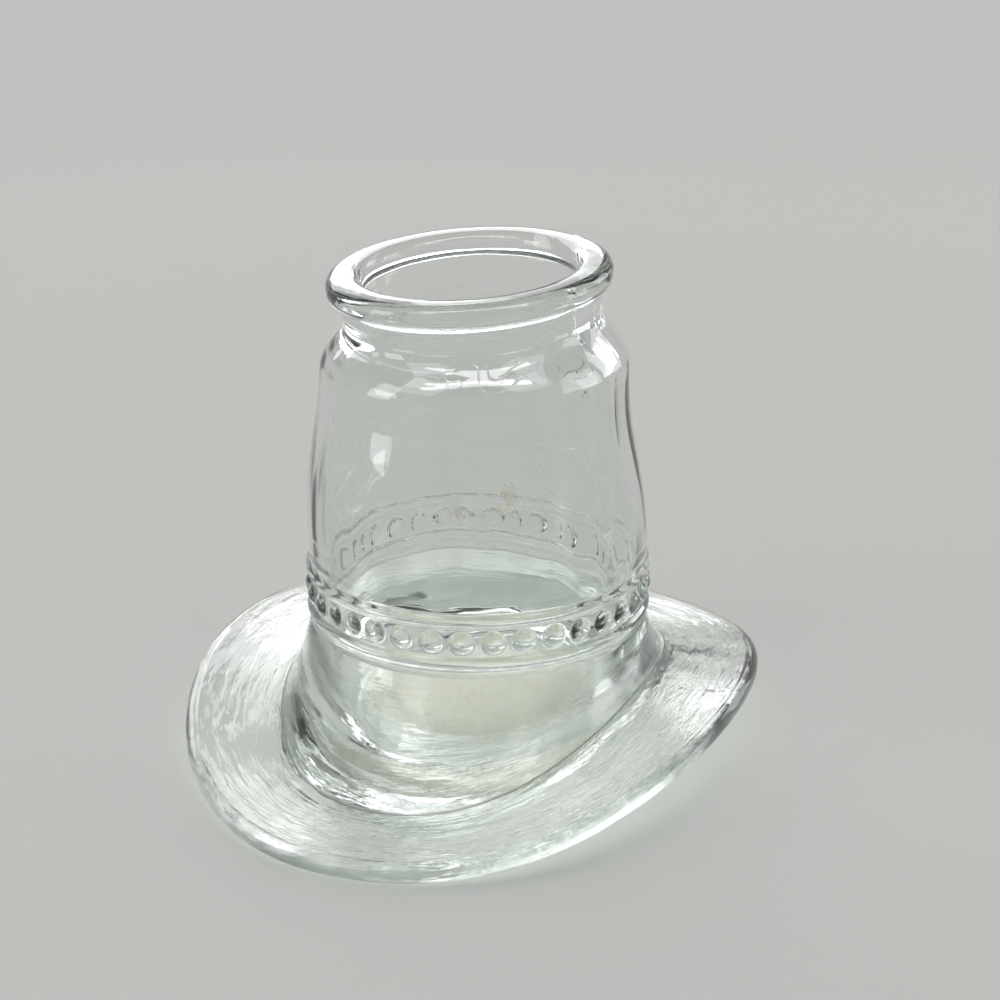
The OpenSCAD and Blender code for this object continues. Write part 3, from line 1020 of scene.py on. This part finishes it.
# The backdrop is pale up to one height and dark from another, given as sines of the elevation
PALE_UP_TO = 0.15
DARK_FROM = 0.85
PALE_STRENGTH = 0.533
DARK_STRENGTH = 0.1
BACKDROP = (1, 1, 0.977, 1)
# How far the floor lies below the base, in mm, so that the two faces don't lie in one plane
FLOOR_GAP = 0.05
# Nearest that the camera sees, in metres
NEAREST = 0.01


def direction(turn, elevation):
    """Unit vector to a place round the hat, from its turn from the front and its elevation in radians."""
    return Vector((math.sin(turn) * math.cos(elevation), -math.cos(turn) * math.cos(elevation),
                   math.sin(elevation)))


def softbox(name, camera_turn, values):
    """An even rectangular lamp that faces the hat."""
    turn, elevation, distance, width, height, radiance = values
    lamp = bpy.data.lights.new("softbox_" + name, "AREA")
    lamp.shape = "RECTANGLE"
    lamp.size = width
    lamp.size_y = height
    lamp.energy = radiance * math.pi * width * height
    holder = bpy.data.objects.new("softbox_" + name, lamp)
    way = direction(math.radians(turn) + camera_turn, math.radians(elevation))
    holder.location = way * distance
    holder.rotation_euler = way.to_track_quat("Z", "Y").to_euler()
    holder.visible_camera = False
    return holder


def stage_floor(finish):
    """The plain floor under the hat."""
    mesh = bpy.data.meshes.new("stage_floor")
    square = ((-1, -1), (1, -1), (1, 1), (-1, 1))
    corners = [(x * FLOOR_REACH, y * FLOOR_REACH, -FLOOR_GAP * MM) for x, y in square]
    mesh.from_pydata(corners, [], [(0, 1, 2, 3)])
    mesh.materials.append(pale_floor(finish))
    return bpy.data.objects.new("stage_floor", mesh)


def overhead_light(camera_turn):
    """A broad sun that lights the floor alone: the glass keeps the dark overhead that draws its edges."""
    sun = bpy.data.lights.new("overhead", "SUN")
    sun.energy = OVERHEAD_STRENGTH
    sun.angle = math.radians(OVERHEAD_SPREAD)
    holder = bpy.data.objects.new("overhead", sun)
    holder.rotation_euler = (math.radians(OVERHEAD_TILT), 0, camera_turn)
    holder.visible_glossy = False
    holder.visible_transmission = False
    return holder


def backdrop():
    """World that is even and pale round the stage, and dark overhead."""
    world = bpy.data.worlds.new("studio")
    world.use_nodes = True
    tree = world.node_tree
    tree.nodes.clear()
    way = add(tree, "ShaderNodeTexCoord").outputs["Generated"]
    up = add(tree, "ShaderNodeSeparateXYZ", {0: way}).outputs["Z"]
    shade = add(tree, "ShaderNodeMapRange", {
        "Value": up, "From Min": PALE_UP_TO, "From Max": DARK_FROM,
        "To Min": PALE_STRENGTH, "To Max": DARK_STRENGTH}, interpolation_type="SMOOTHSTEP")
    sky = add(tree, "ShaderNodeBackground", {"Color": BACKDROP, "Strength": shade.outputs[0]})
    add(tree, "ShaderNodeOutputWorld", {"Surface": sky.outputs[0]})
    return world


def stage_camera(stage):
    """The camera at the photo's angle."""
    camera = bpy.data.objects.new("camera", bpy.data.cameras.new("camera"))
    camera.data.lens = stage.lens
    camera.data.clip_start = NEAREST
    way = direction(stage.azimuth, stage.elevation)
    camera.location = Vector(stage.target) + way * stage.distance
    turned = way.to_track_quat("Z", "Y") @ Quaternion((0, 0, 1), stage.roll)
    camera.rotation_euler = turned.to_euler()
    return camera


class GLASSHAT_OT_stage(bpy.types.Operator):
    """Sets up the pale floor, the soft lights and the camera"""
    bl_idname = "glass_hat.stage"
    bl_label = "Stage"

    def execute(self, context):
        scene = context.scene
        stage = scene.glass_hat_stage
        scene.view_settings.view_transform = "Standard"
        # Light is thrown back and forth inside thick glass, so its paths are let run on
        scene.cycles.max_bounces = 16
        scene.cycles.transmission_bounces = 16
        scene.cycles.glossy_bounces = 6
        floor = stage_floor(scene.glass_hat_finish)
        context.collection.objects.link(floor)
        for name, values in SOFTBOXES.items():
            context.collection.objects.link(softbox(name, stage.azimuth, values))
        for name, values in GLINTS.items():
            glint = softbox(name, stage.azimuth, values)
            glint.visible_diffuse = False
            context.collection.objects.link(glint)
        context.collection.objects.link(overhead_light(stage.azimuth))
        scene.world = backdrop()
        scene.camera = stage_camera(stage)
        context.collection.objects.link(scene.camera)
        return {"FINISHED"}


class GLASSHAT_PT_panel(bpy.types.Panel):
    """Lists the hat's pieces, sizes and colours"""
    bl_idname = "GLASSHAT_PT_panel"
    bl_label = "Glass hat"
    bl_space_type = "VIEW_3D"
    bl_region_type = "UI"
    bl_category = "Glass hat"

    def draw(self, context):
        for operator in (GLASSHAT_OT_glass, GLASSHAT_OT_stage):
            self.layout.operator(operator.bl_idname)
        for group in ("glass_hat_sizes", "glass_hat_finish", "glass_hat_stage"):
            box = self.layout.box()
            values = getattr(context.scene, group)
            for key in values.__annotations__:
                box.prop(values, key)


GROUPS = {
    "glass_hat_sizes": GlassHatSizes,
    "glass_hat_finish": GlassHatFinish,
    "glass_hat_stage": GlassHatStage,
}
CLASSES = (*GROUPS.values(), GLASSHAT_OT_glass, GLASSHAT_OT_stage, GLASSHAT_PT_panel)


def register():
    """Registers the classes and hangs the sizes on the scene."""
    for cls in CLASSES:
        bpy.utils.register_class(cls)
    for name, cls in GROUPS.items():
        setattr(bpy.types.Scene, name, bpy.props.PointerProperty(type=cls))


def unregister():
    """Takes the sizes and the classes away again."""
    for name in GROUPS:
        delattr(bpy.types.Scene, name)
    for cls in reversed(CLASSES):
        bpy.utils.unregister_class(cls)


def main():
    """Builds the hat and its stage."""
    register()
    bpy.ops.glass_hat.stage()
    bpy.ops.glass_hat.glass()


if __name__ == "__main__":
    main()
